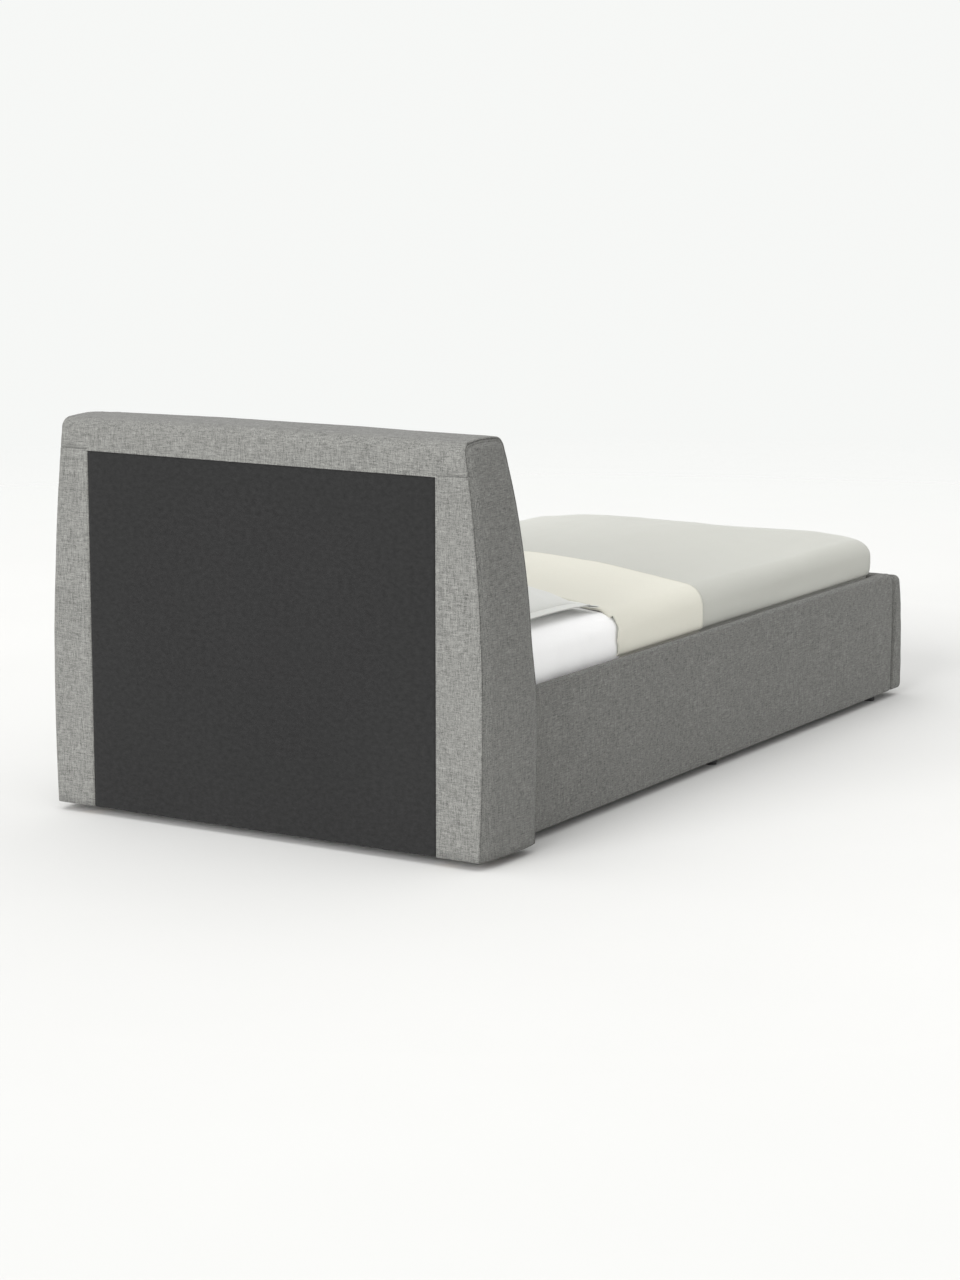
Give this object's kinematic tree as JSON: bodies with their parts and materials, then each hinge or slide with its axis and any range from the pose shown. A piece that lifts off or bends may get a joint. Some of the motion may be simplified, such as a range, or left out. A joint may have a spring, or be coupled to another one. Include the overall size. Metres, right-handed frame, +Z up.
{
  "type": "storage bed",
  "caption": "Upholstered single storage bed with a curved padded headboard, lift-up slatted platform on gas struts, mattress and bedding.",
  "frame": {"origin": "on the floor, under the middle of the bed's box", "axes": "+Z up, +Y toward the headboard, +X to the right seen from the foot end"},
  "size_m": [1.165, 2.3186, 0.937],
  "materials": {
    "back_fabric": "matt melange weave",
    "dark_cloth": "matt non-woven",
    "plywood": "raw plywood",
    "hardboard": "brown hardboard",
    "timber": "planed softwood",
    "floor_board": "light laminated board",
    "birch": "lacquered birch veneer",
    "steel": "zinc plated",
    "black_steel": "black powder coat",
    "chrome": "polished",
    "black_plastic": "matt",
    "webbing": "woven strap",
    "white_sheet": "white cotton",
    "duvet_grey": "light grey cotton",
    "sheet_beige": "warm beige cotton",
    "pillow_grey": "pale grey cotton"
  },
  "bodies": {
    "frame": {"headboard_cover": "back_fabric", "headboard_back_cloth": "dark_cloth", "headboard_front_panel": "hardboard", "headboard_side_left": "plywood", "headboard_side_right": "plywood", "headboard_center_rib": "plywood", "headboard_top_rail": "timber", "headboard_bottom_rail": "timber", "headboard_bolt_rail": "timber", "side_rail_left": "plywood", "side_rail_right": "plywood", "side_rail_cover_left": "back_fabric", "side_rail_cover_right": "back_fabric", "footboard": "plywood", "footboard_cover": "back_fabric", "corner_bracket_head_left": "steel", "corner_bracket_head_right": "steel", "corner_bracket_foot_left": "steel", "corner_bracket_foot_right": "steel", "floor_panel_head": "floor_board", "floor_panel_foot": "floor_board", "floor_bearer": "timber", "glide_head_left": "black_plastic", "glide_head_right": "black_plastic", "glide_middle_left": "black_plastic", "glide_middle_right": "black_plastic", "glide_foot_left": "black_plastic", "glide_foot_right": "black_plastic", "lift_base_left": "black_steel", "lift_base_right": "black_steel"},
    "lift_arms": {"lift_arm_left": "black_steel", "lift_arm_right": "black_steel"},
    "guide_arms": {"guide_arm_left": "black_steel", "guide_arm_right": "black_steel"},
    "platform": {"platform_bracket_left": "black_steel", "platform_bracket_right": "black_steel", "slat_frame_left": "timber", "slat_frame_right": "timber", "slat_frame_head": "timber", "slat_frame_foot": "timber", "slat_01": "birch", "slat_02": "birch", "slat_03": "birch", "slat_04": "birch", "slat_05": "birch", "slat_06": "birch", "slat_07": "birch", "slat_08": "birch", "slat_09": "birch", "slat_10": "birch", "mattress_stop": "steel", "pull_strap": "webbing", "mattress": "white_sheet", "duvet": "duvet_grey", "top_sheet": "sheet_beige", "pillow": "pillow_grey"},
    "strut_cylinders": {"strut_cylinder_left": "black_steel", "strut_cylinder_right": "black_steel"},
    "strut_rods": {"strut_rod_left": "chrome", "strut_rod_right": "chrome"}
  },
  "joints": [
    {"name": "lift", "type": "hinge", "parent": "frame", "child": "lift_arms", "pos_m": [0, 0.181, 0.14055], "axis": [1, 0, 0], "range_deg": [0, 40]},
    {"name": "platform_tilt", "type": "hinge", "parent": "lift_arms", "child": "platform", "pos_m": [0, 0.4817, 0.25], "axis": [-1, 0, 0], "range_deg": [0, 78]},
    {"name": "guide", "type": "hinge", "parent": "frame", "child": "guide_arms", "pos_m": [0, 0.0318, 0.08555], "axis": [1, 0, 0], "range_deg": [0, 35.4]},
    {"name": "strut_swing", "type": "hinge", "parent": "frame", "child": "strut_cylinders", "pos_m": [0, -0.1963, 0.07555], "axis": [1, 0, 0], "range_deg": [0, 0.42]},
    {"name": "strut_stroke", "type": "slide", "parent": "strut_cylinders", "child": "strut_rods", "axis": [0, 0.9999, -0.0136], "range_m": [0, 0.0493]}
  ],
  "couplings": [
    {"joint": "platform_tilt", "follows": "lift", "ratio": 1.95},
    {"joint": "guide", "follows": "lift", "ratio": 0.8832},
    {"joint": "strut_swing", "follows": "lift", "ratio": 0.0104},
    {"joint": "strut_stroke", "follows": "lift", "m_per_rad": 0.0705}
  ]
}
